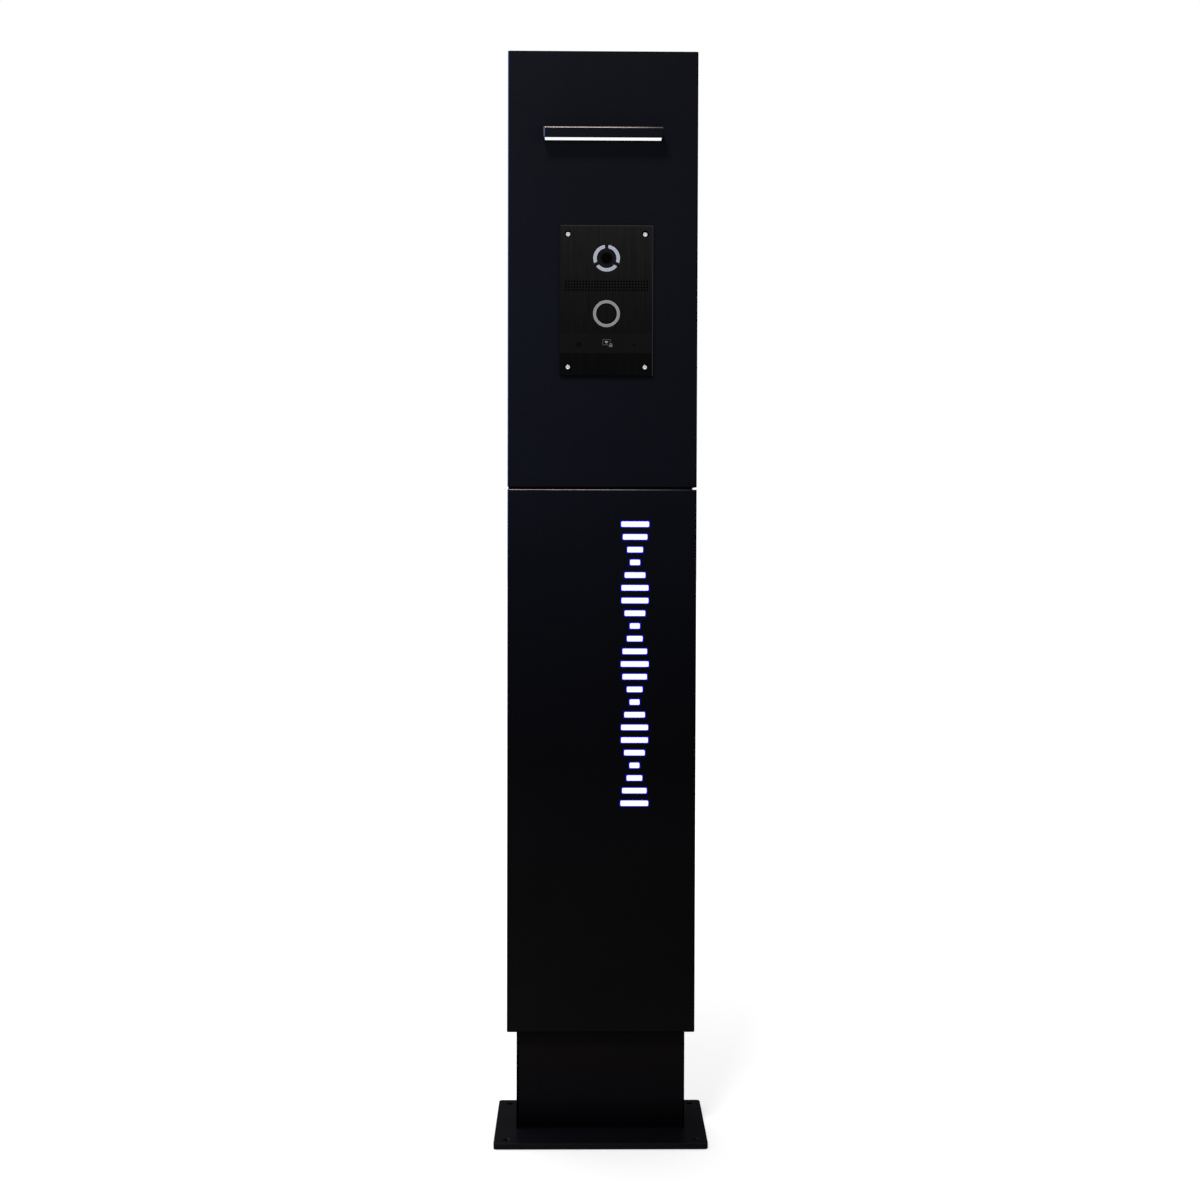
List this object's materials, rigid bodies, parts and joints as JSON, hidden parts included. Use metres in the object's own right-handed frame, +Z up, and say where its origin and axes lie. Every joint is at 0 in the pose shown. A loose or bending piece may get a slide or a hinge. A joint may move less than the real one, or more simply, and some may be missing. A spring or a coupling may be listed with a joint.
{
  "type": "gate intercom post",
  "caption": "Tall slim floor-standing gate intercom post of folded black sheet steel, with a downlight bar, a flush camera intercom, back-lit slots and a bolted base plate.",
  "frame": {"origin": "middle of the base plate's underside, on the floor", "axes": "+Z up along the post, -Y out of the front with the intercom, +X to the right as seen from the front"},
  "size_m": [0.225, 0.14, 1.15],
  "materials": {
    "black_powder_coat": "fine satin powder coat on folded steel sheet",
    "galvanised_steel": "dull zinc coat on folded steel sheet",
    "stainless_steel": "bright turned stainless steel",
    "zinc_plated_steel": "zinc-plated fastener",
    "black_anodised_plate": "brushed and anodised black, the grain upright",
    "white_tray": "matt white coat inside the light box",
    "opal_acrylic": "opal diffusing acrylic, lit from behind",
    "light_guide": "milky polycarbonate light guide",
    "black_plastic": "fine-grained black moulding",
    "black_gloss": "smooth black moulding",
    "camera_glass": "tinted flat glass",
    "lens_glass": "coated lens glass",
    "silicone": "soft black silicone",
    "circuit_board": "green solder mask",
    "black_circuit": "black solder mask",
    "white_circuit": "white solder mask with a yellow phosphor bead",
    "supply_case": "plain aluminium sheet",
    "grey_plastic": "light grey terminal moulding",
    "green_plastic": "green terminal moulding",
    "speaker_black": "black frame with a treated paper cone",
    "speaker_cloth": "black acoustic mesh"
  },
  "bodies": {
    "post": {"base_plate": "black_powder_coat", "plinth_tube": "black_powder_coat", "saddle_bracket": "galvanised_steel", "earth_stud": "zinc_plated_steel", "lower_housing": "black_powder_coat", "lower_rear_cover": "black_powder_coat", "lower_rear_screws": "stainless_steel", "sign_diffuser": "opal_acrylic", "sign_tray": "white_tray", "sign_tray_nuts": "zinc_plated_steel", "sign_led_strip": "white_circuit", "equipment_plate": "galvanised_steel", "equipment_nuts": "zinc_plated_steel", "power_supply": "supply_case", "supply_terminals": "black_plastic", "din_rail": "galvanised_steel", "rail_terminals": "grey_plastic", "joint_spacer": "black_powder_coat", "joint_bolts": "zinc_plated_steel", "joint_nuts": "zinc_plated_steel", "head_housing": "black_powder_coat", "head_rear_cover": "black_powder_coat", "head_rear_screws": "stainless_steel", "lamp_housing": "black_powder_coat", "lamp_end_caps": "black_powder_coat", "lamp_diffuser": "opal_acrylic", "lamp_led_strip": "white_circuit", "lamp_screws": "zinc_plated_steel", "intercom_back_box": "black_plastic", "box_nuts": "zinc_plated_steel", "intercom_gasket": "silicone", "intercom_face_plate": "black_anodised_plate", "face_plate_screws": "stainless_steel", "camera_light_arcs": "light_guide", "camera_window": "camera_glass", "camera_body": "black_plastic", "camera_lens": "lens_glass", "camera_light_board": "black_circuit", "speaker_mesh": "speaker_cloth", "speaker": "speaker_black", "call_button_ring": "light_guide", "button_light_board": "black_circuit", "call_button_seal": "silicone", "call_switch": "black_plastic", "reader_strip": "black_gloss", "reader_antenna": "circuit_board", "light_sensor": "black_gloss", "microphone": "black_plastic", "intercom_board": "circuit_board", "board_pillars": "zinc_plated_steel", "board_screws": "zinc_plated_steel", "terminal_plug": "green_plastic", "tamper_switch": "black_plastic"},
    "call_button": {"call_button_cap": "black_anodised_plate"}
  },
  "joints": [
    {"name": "call_button_press", "type": "slide", "parent": "post", "child": "call_button", "axis": [0, 1, 0], "range_m": [0, 0.0012], "stiffness_N_per_m": 2000, "springref_m": -0.00075, "deforming": ["call_button_seal"]}
  ]
}
